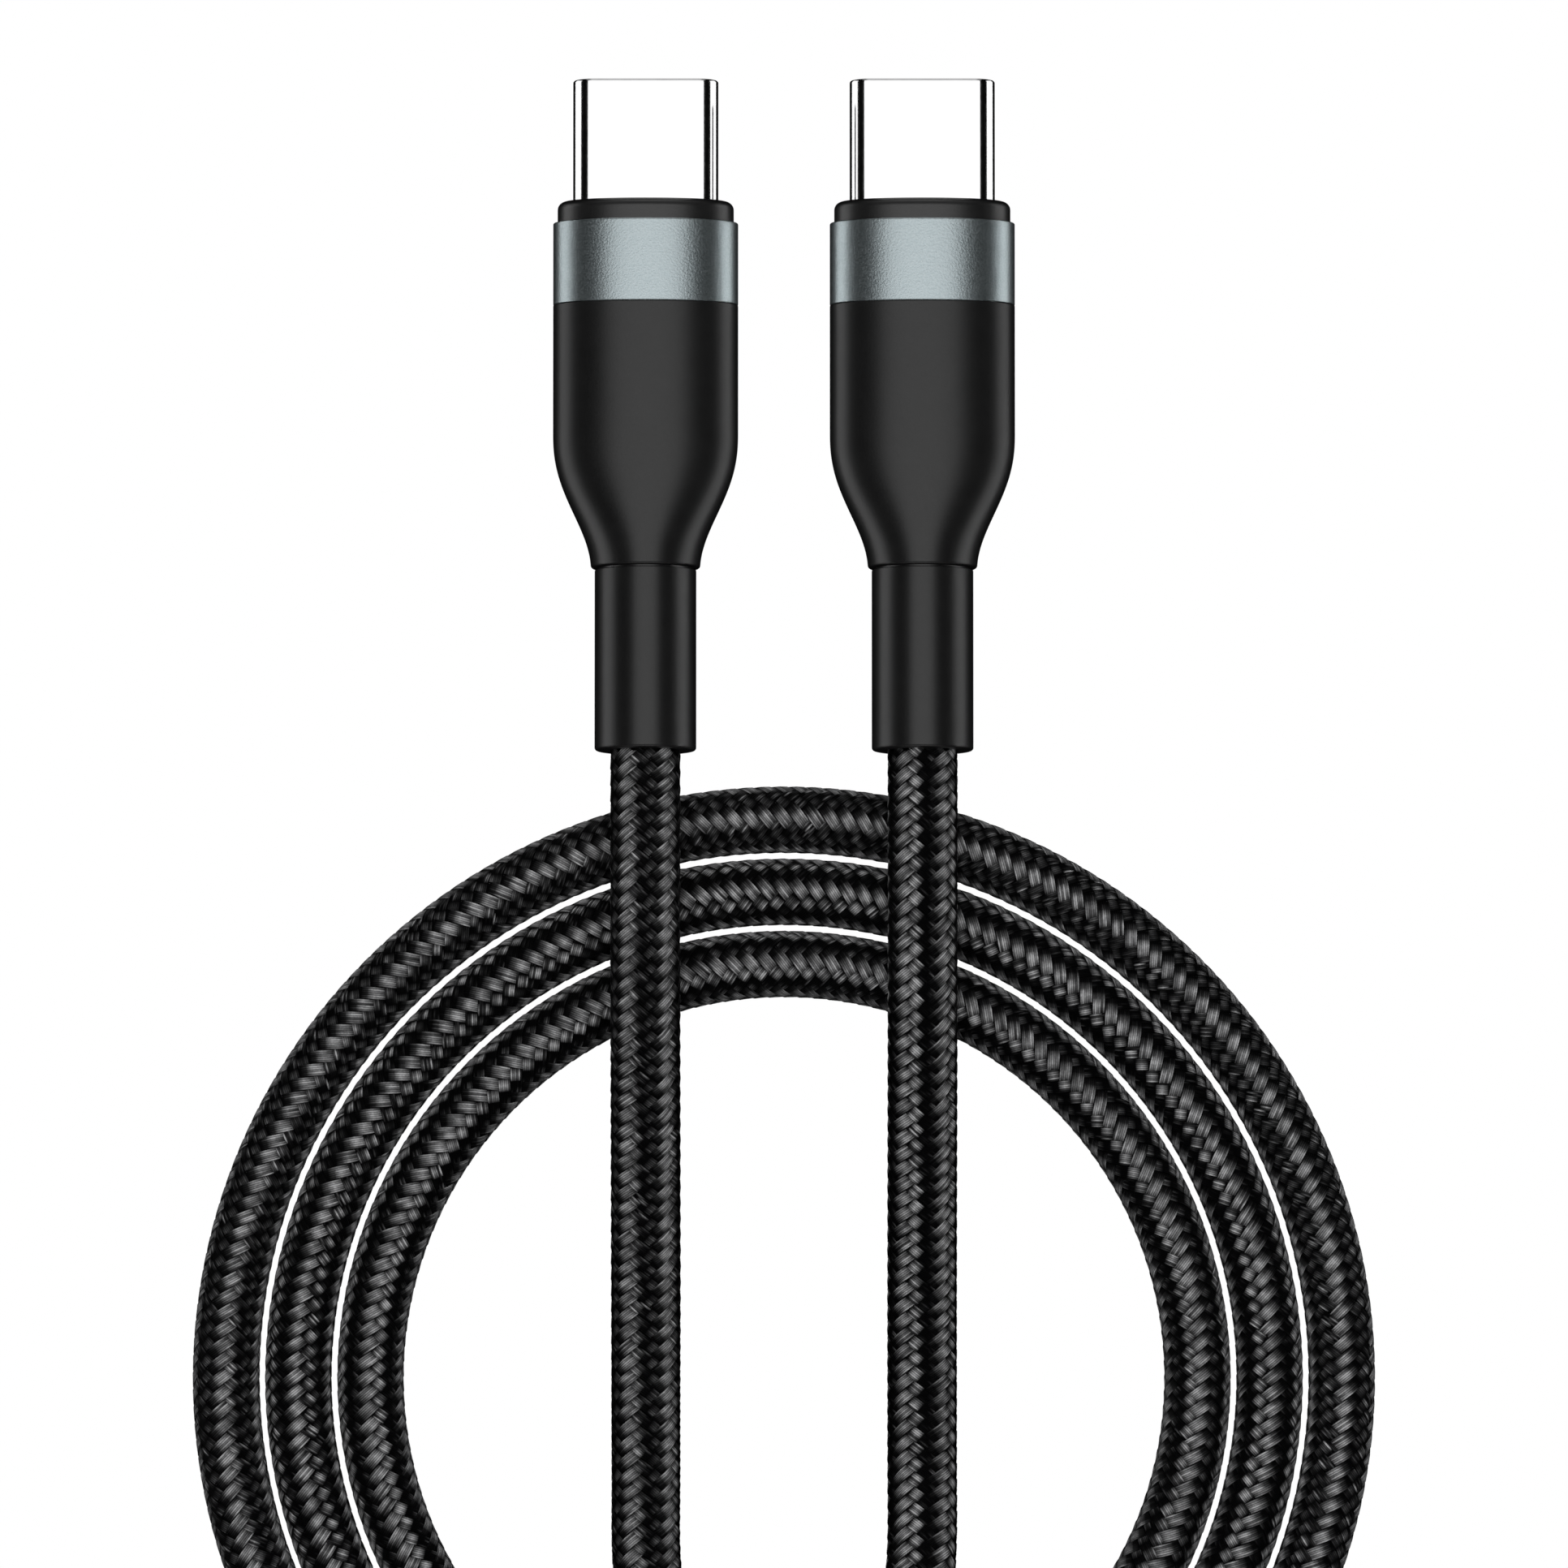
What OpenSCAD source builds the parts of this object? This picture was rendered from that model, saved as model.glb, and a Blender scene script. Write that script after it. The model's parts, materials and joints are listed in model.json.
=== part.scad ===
// A charging cable with the same reversible plug on both ends.
// Its woven cord lies on a table, wound into a flat coil of three turns.
// +Z is up, +Y is the way that the plugs point, and X = 0 is halfway between them.

/* [Plug shell] */
// Width of the metal shell
shell_w = 8.25; // [8.20:0.05:8.30]
// Thickness of the metal shell
shell_t = 2.40; // [2.35:0.05:2.45]
// Wall of the metal shell
shell_wall = 0.30; // [0.25:0.05:0.30]
// Length of shell that shows in front of the collar
shell_shows = 6.80; // [6.60:0.10:7.00]

/* [Plug body] */
// Width of the trim ring and of the housing
body_w = 10.50; // [10.40:0.10:11.00]
// Thickness of the trim ring and of the housing
body_t = 6.20; // [6.20:0.10:6.80]
// Length of the plastic collar between the shell and the trim ring
collar_len = 1.20; // [1.00:0.10:1.40]
// Length of the metal trim ring
ring_len = 4.60; // [4.40:0.10:5.00]
// Length of the housing that shows behind the trim ring
housing_len = 15.15; // [15.05:0.05:15.60]
// Length over which the housing narrows
taper_len = 6.60; // [6.00:0.10:7.00]
// Roundness of the oval section: 2 is an ellipse, more is squarer
oval_power = 2.2; // [2.0:0.1:2.4]
// Outside diameter of the strain relief
relief_d = 5.76; // [5.60:0.02:5.90]
// Length of the strain relief that shows
relief_len = 10.60; // [9.00:0.10:12.00]

/* [Cord] */
// Diameter of the woven cord
cord_d = 3.90; // [3.80:0.05:3.95]
// Radius of the coil's inner turn, at the middle of the cord
coil_inner_r = 23.5; // [23.3:0.1:23.7]
// Distance from one turn to the next
turn_pitch = 4.10; // [4.05:0.05:4.15]

/* [Layout] */
// Distance between the two plugs' centre lines
plug_spacing = 15.70; // [15.50:0.10:16.00]
// Nose-down lean of a plug, whose cord rides over the coil
lean = 5.0; // [4.9:0.1:5.2]

/* [Inside the plug] */
// Width of one contact
contact_w = 0.25; // [0.22:0.01:0.26]
// Thickness of the circuit board
board_t = 0.80; // [0.76:0.01:0.80]

/* [Hidden] */

$fn = 64;
// Sides of an oval outline
oval_sides = 40;
// Sides of a swept wire or cord
tube_sides = 8;
// Free play between pieces that are slid together
slip = 0.03;
// Reach of a cut past the face that it starts from
over = 0.5;

// Distances behind the tip of the shell, along the plug
collar_s = shell_shows;
ring_s = collar_s + collar_len;
housing_s = ring_s + ring_len;
relief_s = housing_s + housing_len;
exit_s = relief_s + relief_len;
shell_end_s = ring_s + 2.8;

// Section sizes of the body and what is in it
body_a = body_w / 2;
body_b = body_t / 2;
ring_wall = 0.5;
socket_a = body_a - ring_wall;
socket_b = body_b - ring_wall;
housing_wall = 0.8;
cavity_a = body_a - housing_wall;
cavity_b = body_b - housing_wall;
spigot_s = ring_s + 2.5;
relief_r = relief_d / 2;
root_r = cavity_b - slip;
root_s = relief_s - 2.15;
cord_r = cord_d / 2;

// The contact carrier, the tongue's mouth in it, and the contacts at their standard pitch
contact_pitch = 0.50;
carrier_w = shell_w - 2 * shell_wall - 0.05;
carrier_t = shell_t - 2 * shell_wall - 0.04;
carrier_s = 0.5;
carrier_end_s = ring_s + 0.4;
mouth_w = 6.84;
mouth_t = 0.84;
mouth_end_s = 6.3;
contact_slot_w = contact_w + 0.08;
contact_top = 0.55;
contact_low = mouth_t / 2;
contact_tail_s = 12.0;
upper_places = [0, 3, 4, 5, 6, 8, 11];
lower_places = [0, 3, 7, 8, 11];
spring_places = [-2, 0, 2];
spring_finger_w = 0.8;
spring_plate_w = 5.8;

// The latch: a flat plate with a springing arm on each side of the mouth
latch_t = 0.30;
latch_slot_b = latch_t / 2 + slip;
plate_a = 3.6;
plate_end_s = carrier_end_s + 1.2;
latch_slot_w = 7.36;
pivot_x = 3.42;
pivot_s = 6.8;
pivot_r = 0.20;
arm_in = 3.36;
arm_out = 3.56;
hook_in = 3.12;
arm_tip_s = 1.4;

// The circuit board and its shield can
board_s = shell_end_s - 0.1;
board_end_s = board_s + 8.0;
board_half = board_t / 2;
can_s = shell_end_s + 0.05;
can_end_s = can_s + 9.75;
can_a = 3.95;
can_b = 1.80;
can_wall = 0.15;
can_hole_r = 1.60;
mould_end_s = can_end_s + 0.6;

// The cord's layers inside the plug
jacket_r = 1.65;
core_r = 1.25;
braid_r = 1.84;
ferrule_r = 2.10;
jacket_s = mould_end_s + 0.4;

// Wire ends on the board, then their way into the cord: X, distance behind the tip, Z
wire_s = 17.0;
power_r = 0.48;
signal_r = 0.30;
power_way = [[-1.9, wire_s, 0.90], [-1.9, 18.8, 0.90], [-1.1, 19.8, 0.55], [-0.65, 20.6, 0.30],
             [-0.6, 21.6, 0.25], [-0.6, 26, 0.25]];
channel_way = [[0, wire_s, 0.72], [0, 18.8, 0.72], [0, 20, 0.80], [0, 21.6, 0.85], [0, 26, 0.85]];
data_way = [[-0.8, wire_s, -0.72], [-0.8, 18.8, -0.72], [-0.55, 20, -0.68], [-0.4, 21.4, -0.65],
            [-0.4, 26, -0.65]];

// Each plug rests on the front lower edge of its trim ring, and leans about it.
// The plugs' own box is centred on the origin along Y.
rest_z = body_b * cos(lean);
rest_y = ((exit_s - 2 * ring_s) * cos(lean) + (relief_r - shell_t / 2) * sin(lean)) / 2;
plug_x = plug_spacing / 2;

// The coil lies flat behind the plugs
turns = 3;
coil_y = -54.5;
coil_outer_r = coil_inner_r + (turns - 1) * turn_pitch;

// Where a cord's middle leaves its plug, and where it is one straight step later
exit_step = 4;
exit_point = plug_point(exit_s);
step_point = plug_point(exit_s + exit_step);

// The left tail's middle: over the coil, down to the table, then round into the inner turn.
// X and Y are from the coil's centre.
left_route = [[-7.85, 28, 6.35], [-7.85, 25, 6.3], [-7.85, 22, 6.0], [-7.85, 18, 5.1], [-7.85, 14, 4.0],
              [-7.85, 10, 3.0], [-7.85, 6, 2.3], [-7.85, 2, 2.0], [-7.85, -3, 1.95], [-7.85, -7, 1.95],
              [-7.8, -10.5, 1.95], [-7.2, -14, 1.95], [-5.6, -17.5, 1.95], [-2.9, -20.6, 1.95],
              [0.7, -22.5, 1.95], [4.3, -23.1, 1.95]];

// The right tail's middle: over the coil, down, then up over the turns to ride onto the outer one
right_route = [[7.85, 28, 6.35], [7.85, 25, 6.3], [7.85, 22, 6.0], [7.85, 18, 5.1], [7.85, 14, 4.0],
               [7.85, 10, 2.9], [7.85, 6, 2.2], [7.85, 2, 1.95], [7.85, -2, 2.2], [7.85, -6, 3.0],
               [7.8, -10, 4.2], [7.3, -14, 5.3], [6.0, -18, 5.9], [3.7, -21.7, 6.0], [0.5, -24.7, 6.0],
               [-3.4, -26.8, 6.0], [-7.6, -27.8, 6.0], [-12, -27.8, 6.0], [-16.3, -26.6, 5.8],
               [-20.3, -24.2, 5.1], [-24, -20.7, 3.9], [-27, -16.6, 2.8], [-29.2, -12.3, 2.1]];

// ---- Functions ----

// A power that keeps the sign of its base
function signed_pow(v, p) = sign(v) * pow(abs(v), p);

// The outline of an oval with half sizes a and b, rounder or squarer by its power
function oval_points(a, b, p) = [
    for (i = [0:oval_sides - 1])
        let (t = 360 * i / oval_sides)
            [a * signed_pow(cos(t), 2 / p), b * signed_pow(sin(t), 2 / p)]
];

// The same outline as a ring of points at a distance behind the tip, clockwise from the front
function oval_ring(s, a, b, p) = [for (q = oval_points(a, b, p)) [q[0], ring_s - s, -q[1]]];

// A slope that starts and ends level, from 0 to 1
function ease(t) = (1 - cos(180 * min(max(t, 0), 1))) / 2;

// A plug's own point, at a distance behind its tip, set down at the middle of the layout
function plug_point(s) = [0, rest_y + (ring_s - s) * cos(lean), rest_z - (ring_s - s) * sin(lean)];

// How far the housing has narrowed at a distance behind the tip
function narrowed(s) = ease((s - relief_s + taper_len) / taper_len);

// Half width of the housing, less a wall
function housing_a(s, wall) = body_a - wall - (body_a - body_b) * narrowed(s);

// One ring of the housing's outside or inside
function housing_ring(s, wall) =
    oval_ring(s, housing_a(s, wall), body_b - wall, oval_power + (2 - oval_power) * narrowed(s));

// A unit vector
function unit(v) = v / norm(v);

// The way that a route runs at one of its points
function heading(route, i) =
    i == 0 ? unit(route[1] - route[0])
    : i == len(route) - 1 ? unit(route[i] - route[i - 1])
    : unit(unit(route[i + 1] - route[i]) + unit(route[i] - route[i - 1]));

// One ring of a tube, square to the route
function tube_ring(route, i, r) =
    let (
        along = heading(route, i),
        side = unit(cross(along, [0, 0, 1])),
        up = cross(side, along)
    )
    [for (k = [0:tube_sides - 1])
        let (t = 360 * k / tube_sides)
            route[i] + r * (side * cos(t) + up * sin(t))];

// Every point of a list of rings, in one list
function flat(rings) = [for (ring = rings) for (p = ring) p];

// The faces between two rings of n points that start at a and at b
function band(a, b, n) = [for (i = [0:n - 1]) [a + i, a + (i + 1) % n, b + (i + 1) % n, b + i]];

// A route from plug to coil: one end square to the plug, the rest placed at the coil
function tail_route(side, points) = concat(
    [exit_point + [side * plug_x, 0, 0], step_point + [side * plug_x, 0, 0]],
    [for (p = points) p + [0, coil_y, 0]]
);

// A wire's way in the plug's own place
function wire_route(way) = [for (p = way) [p[0], ring_s - p[1], p[2]]];

// ---- Shapes ----

// A solid with an outline in X and Z, from one distance behind the tip to another
module span(from, to) {
    translate([0, ring_s - from, 0])
        rotate([90, 0, 0])
            linear_extrude(to - from)
                children();
}

// A solid turned about the plug's axis, from an outline of radius and distance behind the tip
module turned() {
    translate([0, ring_s, 0])
        rotate([90, 0, 0])
            rotate_extrude()
                children();
}

// A solid with an outline in distance behind the tip and Z, centred on x
module side_cut(x, w, points) {
    translate([x - w / 2, 0, 0])
        rotate([90, 0, 90])
            linear_extrude(w)
                polygon([for (p = points) [ring_s - p[0], p[1]]]);
}

// A box between two distances behind the tip and two heights, centred on x
module block(x, w, from, to, low, high) {
    translate([x - w / 2, ring_s - to, low])
        cube([w, to - from, high - low]);
}

// An outline with straight top and bottom and round ends
module slot_outline(w, t) {
    square([w - t, t], center = true);
    for (side = [-1, 1])
        translate([side * (w - t) / 2, 0])
            circle(d = t);
}

// An oval outline
module oval(a, b) {
    polygon(oval_points(a, b, oval_power));
}

// A pipe about the plug's axis
module pipe(from, to, inner, outer) {
    turned()
        translate([inner, from])
            square([outer - inner, to - from]);
}

// A closed solid through rings of n points: a bar with two end faces
module loft(rings) {
    n = len(rings[0]);
    last = len(rings) - 1;
    sides = [for (i = [0:last - 1]) for (f = band(i * n, (i + 1) * n, n)) f];
    near = [for (i = [0:n - 1]) n - 1 - i];
    far = [for (i = [0:n - 1]) last * n + i];
    polyhedron(flat(rings), concat(sides, [near, far]), convexity = 4);
}

// A closed solid through rings of n points that come back to the first: a hollow sleeve
module sleeve(rings) {
    n = len(rings[0]);
    count = len(rings);
    sides = [for (i = [0:count - 1]) for (f = band(i * n, ((i + 1) % count) * n, n)) f];
    polyhedron(flat(rings), sides, convexity = 4);
}

// A round bar swept along a route
module tube(route, r) {
    loft([for (i = [0:len(route) - 1]) tube_ring(route, i, r)]);
}

// X of a contact place, counted from 0 to 11
function place_x(i) = (i - 5.5) * contact_pitch;

// One contact: a long beam whose front end bends into the mouth
module contact(x) {
    side_cut(x, contact_w, [
        [contact_tail_s, contact_low], [2.9, contact_low], [2.3, 0.31], [2.0, 0.27], [1.75, 0.30],
        [1.6, 0.40], [1.7, 0.46], [1.82, 0.41], [2.0, 0.39], [2.25, 0.43], [2.85, contact_top],
        [contact_tail_s, contact_top]
    ]);
}

// A row of contacts, on the upper side
module contact_row(places) {
    for (i = places)
        contact(place_x(i));
}

// Slots for a row of contacts, on the upper side
module contact_slots(places, from, to, high) {
    for (i = places)
        block(place_x(i), contact_slot_w, from, to, contact_low - 0.01, high);
}

// One ground spring, on the upper side: a thin plate with fingers bent into the mouth
module ground_spring() {
    block(0, spring_plate_w, 1.4, 6.0, 0.77, 0.86);
    for (x = spring_places)
        side_cut(x, spring_finger_w, [
            [1.45, 0.86], [1.45, 0.77], [1.0, 0.40], [0.88, 0.36], [0.74, 0.42], [0.78, 0.50], [0.88, 0.46],
            [0.96, 0.49], [1.38, 0.86]
        ]);
}

// Room for one ground spring in the carrier, on the upper side
module ground_spring_room() {
    block(0, spring_plate_w + 0.1, 1.3, 6.1, 0.75, 1.0);
    for (x = spring_places)
        block(x, spring_finger_w + 0.1, carrier_s - over, 1.5, mouth_t / 2 - 0.1, 1.0);
}

// One arm of the latch, on the side of +X: an eye, a spring bar and a hook
module latch_arm() {
    translate([0, ring_s, -latch_t / 2])
        linear_extrude(latch_t) {
            translate([pivot_x, -pivot_s])
                circle(r = pivot_r);
            polygon([
                [arm_out, -pivot_s], [arm_out, -arm_tip_s - 0.1], [arm_out - 0.1, -arm_tip_s],
                [arm_in, -arm_tip_s], [hook_in, -2.0], [hook_in, -2.2], [arm_in, -2.6], [arm_in, -pivot_s]
            ]);
        }
}

// One half of the shield can, on the upper side
module shield_can_half() {
    difference() {
        span(can_s, can_end_s)
            oval(can_a, can_b);
        span(can_s - over, can_end_s - can_wall)
            oval(can_a - can_wall, can_b - can_wall);
        span(can_s, can_end_s + over)
            circle(r = can_hole_r);
        block(0, 2 * body_w, can_s - over, can_end_s + over, -body_b, slip / 2);
    }
}

// A solder fillet behind a contact's tail, or ahead of a wire's end
module fillet(x, w, from, to, high) {
    side_cut(x, w, [[from, board_half], [from, high], [to, board_half]]);
}

// ---- Sub-parts, each in the plug's own place ----

// Drawn steel shell, open at both ends
module plug_shell() {
    color("gainsboro")
        difference() {
            span(0, shell_end_s)
                slot_outline(shell_w, shell_t);
            span(-over, shell_end_s + over)
                slot_outline(shell_w - 2 * shell_wall, shell_t - 2 * shell_wall);
        }
}

// Plastic carrier with the tongue's mouth, contact slots, latch slots and spring rooms
module contact_carrier() {
    color("dimgray")
        difference() {
            span(carrier_s, carrier_end_s)
                slot_outline(carrier_w, carrier_t);
            block(0, mouth_w, carrier_s - over, mouth_end_s, -mouth_t / 2, mouth_t / 2);
            block(0, carrier_w + 1, 1.0, pivot_s - 0.4, -latch_slot_b, latch_slot_b);
            block(0, latch_slot_w, mouth_end_s - over, carrier_end_s + over, -latch_slot_b, latch_slot_b);
            contact_slots(upper_places, 1.5, carrier_end_s + over, 0.66);
            mirror([0, 0, 1])
                contact_slots(lower_places, 1.5, carrier_end_s + over, 0.66);
            ground_spring_room();
            mirror([0, 0, 1])
                ground_spring_room();
        }
}

// Plastic block that holds the contacts' tails and the latch plate's end
module rear_carrier() {
    color("gray")
        difference() {
            span(carrier_end_s, shell_end_s - 0.2)
                slot_outline(carrier_w, carrier_t);
            block(0, latch_slot_w, carrier_end_s - over, plate_end_s + 0.1, -latch_slot_b, latch_slot_b);
            contact_slots(upper_places, carrier_end_s - over, shell_end_s, contact_top + 0.01);
            mirror([0, 0, 1])
                contact_slots(lower_places, carrier_end_s - over, shell_end_s, contact_top + 0.01);
        }
}

// Upper row of plated spring contacts
module upper_contacts() {
    color("gold")
        contact_row(upper_places);
}

// Lower row of plated spring contacts
module lower_contacts() {
    color("gold")
        mirror([0, 0, 1])
            contact_row(lower_places);
}

// Upper ground spring
module upper_ground_spring() {
    color("silver")
        ground_spring();
}

// Lower ground spring
module lower_ground_spring() {
    color("silver")
        mirror([0, 0, 1])
            ground_spring();
}

// Flat plate between the contact rows, with a round seat for each latch arm
module latch_plate() {
    color("lightgray")
        translate([0, ring_s, -latch_t / 2])
            linear_extrude(latch_t)
                difference() {
                    translate([-plate_a, -plate_end_s])
                        square([2 * plate_a, plate_end_s - pivot_s + pivot_r]);
                    for (side = [-1, 1])
                        translate([side * pivot_x, -pivot_s])
                            circle(r = pivot_r + slip);
                    for (side = [-1, 1])
                        translate([side * (pivot_x + 0.1), -pivot_s + 0.25])
                            square([0.5, 0.5], center = true);
                }
}

// Latch arm on the side of +X
module latch_arm_plus() {
    color("lightgray")
        latch_arm();
}

// Latch arm on the side of -X
module latch_arm_minus() {
    color("lightgray")
        mirror([1, 0, 0])
            latch_arm();
}

// Circuit board
module circuit_board() {
    color("darkgreen")
        block(0, 7.0, board_s, board_end_s, -board_half, board_half);
}

// Chip that tells the charger what the cable can carry
module marker_chip() {
    color("black")
        block(0, 2.0, 13.6, 15.4, board_half, board_half + 0.55);
}

// Three small capacitors
module capacitors() {
    color("tan")
        for (at = [[-2.3, 13.2], [2.3, 13.2], [2.3, 14.8]])
            block(at[0], 0.5, at[1], at[1] + 1.0, board_half, board_half + 0.35);
}

// Solder at the contacts' tails and at the wires' ends
module solder_joints() {
    color("lightsteelblue") {
        for (i = upper_places)
            fillet(place_x(i), contact_w, contact_tail_s, contact_tail_s + 0.35, contact_top);
        for (side = [-1, 1])
            fillet(side * 1.9, 0.8, wire_s, wire_s - 0.8, 1.1);
        fillet(0, 0.5, wire_s, wire_s - 0.7, 0.85);
        mirror([0, 0, 1]) {
            for (i = lower_places)
                fillet(place_x(i), contact_w, contact_tail_s, contact_tail_s + 0.35, contact_top);
            for (side = [-1, 1])
                fillet(side * 0.8, 0.5, wire_s, wire_s - 0.7, 0.85);
        }
    }
}

// Upper half of the shield can
module upper_shield_can() {
    color("lightgray")
        shield_can_half();
}

// Lower half of the shield can
module lower_shield_can() {
    color("lightgray")
        mirror([0, 0, 1])
            shield_can_half();
}

// Plastic moulded round the shield can, inside the housing
module inner_mould() {
    color("whitesmoke")
        difference() {
            span(can_s, mould_end_s)
                oval(cavity_a - slip, cavity_b - slip);
            span(can_s - over, can_end_s + 0.02)
                oval(can_a + 0.02, can_b + 0.02);
            span(can_s, mould_end_s + over)
                circle(r = can_hole_r);
        }
}

// Metal ferrule crimped on the cord
module crimp_ferrule() {
    color("silver")
        pipe(jacket_s, jacket_s + 3.6, braid_r + 0.01, ferrule_r);
}

// The cord's wire shield, folded back over its jacket under the ferrule
module shield_braid() {
    color("darkgray")
        pipe(jacket_s + 0.1, jacket_s + 3.4, jacket_r + 0.01, braid_r);
}

// The cord's rubber jacket, inside the plug
module cord_jacket() {
    color("black")
        pipe(jacket_s, exit_s, core_r, jacket_r);
}

// The cord's woven cover, inside the strain relief
module woven_cover() {
    color("black")
        pipe(jacket_s + 3.8, exit_s, jacket_r + 0.01, cord_r);
}

// Power wire
module power_wire() {
    color("red")
        tube(wire_route(power_way), power_r);
}

// Ground wire
module ground_wire() {
    color("black")
        mirror([1, 0, 0])
            tube(wire_route(power_way), power_r);
}

// Channel wire and the two data wires
module signal_wires() {
    color("royalblue")
        tube(wire_route(channel_way), signal_r);
    color("green")
        tube(wire_route(data_way), signal_r);
    color("white")
        mirror([1, 0, 0])
            tube(wire_route(data_way), signal_r);
}

// Plastic collar round the shell, with a neck that fits into the trim ring
module nose_collar() {
    collar_a = body_a - 0.25;
    collar_b = body_b - 0.25;
    round_r = 0.45;
    nose = [for (t = [0:15:90])
        oval_ring(collar_s + round_r * (1 - cos(t)), collar_a - round_r * (1 - sin(t)),
                  collar_b - round_r * (1 - sin(t)), oval_power)];
    color("black")
        difference() {
            union() {
                loft(concat(nose, [oval_ring(ring_s, collar_a, collar_b, oval_power)]));
                span(ring_s - 0.1, spigot_s - 0.1)
                    oval(socket_a - slip, socket_b - slip);
            }
            span(collar_s - over, spigot_s + over)
                slot_outline(shell_w + slip, shell_t + slip);
        }
}

// Metal trim ring
module trim_ring() {
    color("slategray")
        difference() {
            span(ring_s, housing_s)
                oval(body_a, body_b);
            span(ring_s - over, housing_s + over)
                oval(socket_a, socket_b);
        }
}

// Housing: a neck in the trim ring, an oval barrel, and a taper to a round end
module housing() {
    taper_s = relief_s - taper_len;
    taper_steps = 11;
    tail = [for (i = [0:taper_steps]) taper_s + taper_len * i / taper_steps];
    color("black")
        sleeve(concat(
            [oval_ring(spigot_s, socket_a - slip, socket_b - slip, oval_power)],
            [oval_ring(housing_s, socket_a - slip, socket_b - slip, oval_power)],
            [housing_ring(housing_s, 0)],
            [for (s = tail) housing_ring(s, 0)],
            [for (i = [taper_steps:-1:0]) housing_ring(tail[i], housing_wall)],
            [oval_ring(spigot_s, cavity_a, cavity_b, oval_power)]
        ));
}

// Strain relief: a soft sleeve whose root is held in the housing's round end
module strain_relief() {
    edge_r = 0.25;
    bore_r = cord_r + slip;
    color("black")
        turned() {
            translate([bore_r, root_s])
                square([root_r - bore_r, relief_s - root_s]);
            translate([bore_r, relief_s])
                square([relief_r - bore_r, relief_len - edge_r]);
            translate([bore_r, exit_s - edge_r])
                square([relief_r - edge_r - bore_r, edge_r]);
            translate([relief_r - edge_r, exit_s - edge_r])
                circle(r = edge_r);
        }
}

// Tail from the left plug to the coil's inner turn
module left_cord_tail() {
    color("black")
        tube(tail_route(-1, left_route), cord_r);
}

// Tail from the right plug to the coil's outer turn
module right_cord_tail() {
    color("black")
        tube(tail_route(1, right_route), cord_r);
}

// The coil's outer shape: turns side by side in one flat layer
module cord_coil() {
    color("black")
        translate([0, coil_y, 0])
            rotate_extrude($fn = 128) {
                translate([coil_inner_r, 0])
                    square([coil_outer_r - coil_inner_r, cord_d]);
                translate([coil_inner_r, cord_r])
                    circle(d = cord_d);
                translate([coil_outer_r, cord_r])
                    circle(d = cord_d);
            }
}

// ---- Placing ----

// Sets a plug's piece down on its side of the layout
module set_plug(side) {
    translate([side * plug_x, rest_y, rest_z])
        rotate([-lean, 0, 0])
            children();
}

module left() {
    set_plug(-1)
        children();
}

module right() {
    set_plug(1)
        children();
}

left() plug_shell();  // left_plug_shell
right() plug_shell();  // right_plug_shell
left() contact_carrier();  // left_contact_carrier
right() contact_carrier();  // right_contact_carrier
left() rear_carrier();  // left_rear_carrier
right() rear_carrier();  // right_rear_carrier
left() upper_contacts();  // left_upper_contacts
right() upper_contacts();  // right_upper_contacts
left() lower_contacts();  // left_lower_contacts
right() lower_contacts();  // right_lower_contacts
left() upper_ground_spring();  // left_upper_ground_spring
right() upper_ground_spring();  // right_upper_ground_spring
left() lower_ground_spring();  // left_lower_ground_spring
right() lower_ground_spring();  // right_lower_ground_spring
left() latch_plate();  // left_latch_plate
right() latch_plate();  // right_latch_plate
left() latch_arm_minus();  // left_latch_arm_outer
right() latch_arm_minus();  // right_latch_arm_inner
left() latch_arm_plus();  // left_latch_arm_inner
right() latch_arm_plus();  // right_latch_arm_outer
left() circuit_board();  // left_circuit_board
right() circuit_board();  // right_circuit_board
left() marker_chip();  // left_marker_chip
right() marker_chip();  // right_marker_chip
left() capacitors();  // left_capacitors
right() capacitors();  // right_capacitors
left() solder_joints();  // left_solder_joints
right() solder_joints();  // right_solder_joints
left() upper_shield_can();  // left_upper_shield_can
right() upper_shield_can();  // right_upper_shield_can
left() lower_shield_can();  // left_lower_shield_can
right() lower_shield_can();  // right_lower_shield_can
left() inner_mould();  // left_inner_mould
right() inner_mould();  // right_inner_mould
left() crimp_ferrule();  // left_crimp_ferrule
right() crimp_ferrule();  // right_crimp_ferrule
left() shield_braid();  // left_shield_braid
right() shield_braid();  // right_shield_braid
left() cord_jacket();  // left_cord_jacket
right() cord_jacket();  // right_cord_jacket
left() woven_cover();  // left_woven_cover
right() woven_cover();  // right_woven_cover
left() power_wire();  // left_power_wire
right() power_wire();  // right_power_wire
left() ground_wire();  // left_ground_wire
right() ground_wire();  // right_ground_wire
left() signal_wires();  // left_signal_wires
right() signal_wires();  // right_signal_wires
left() nose_collar();  // left_nose_collar
right() nose_collar();  // right_nose_collar
left() trim_ring();  // left_trim_ring
right() trim_ring();  // right_trim_ring
left() housing();  // left_housing
right() housing();  // right_housing
left() strain_relief();  // left_strain_relief
right() strain_relief();  // right_strain_relief
left_cord_tail();
right_cord_tail();
cord_coil();
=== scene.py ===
"""The looks of a charging cable: two plugs and one braided cord, wound into a flat coil of three turns.

Everything is in metres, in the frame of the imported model: +Z is up and the plugs point along +Y.
"""

import json
import math

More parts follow.
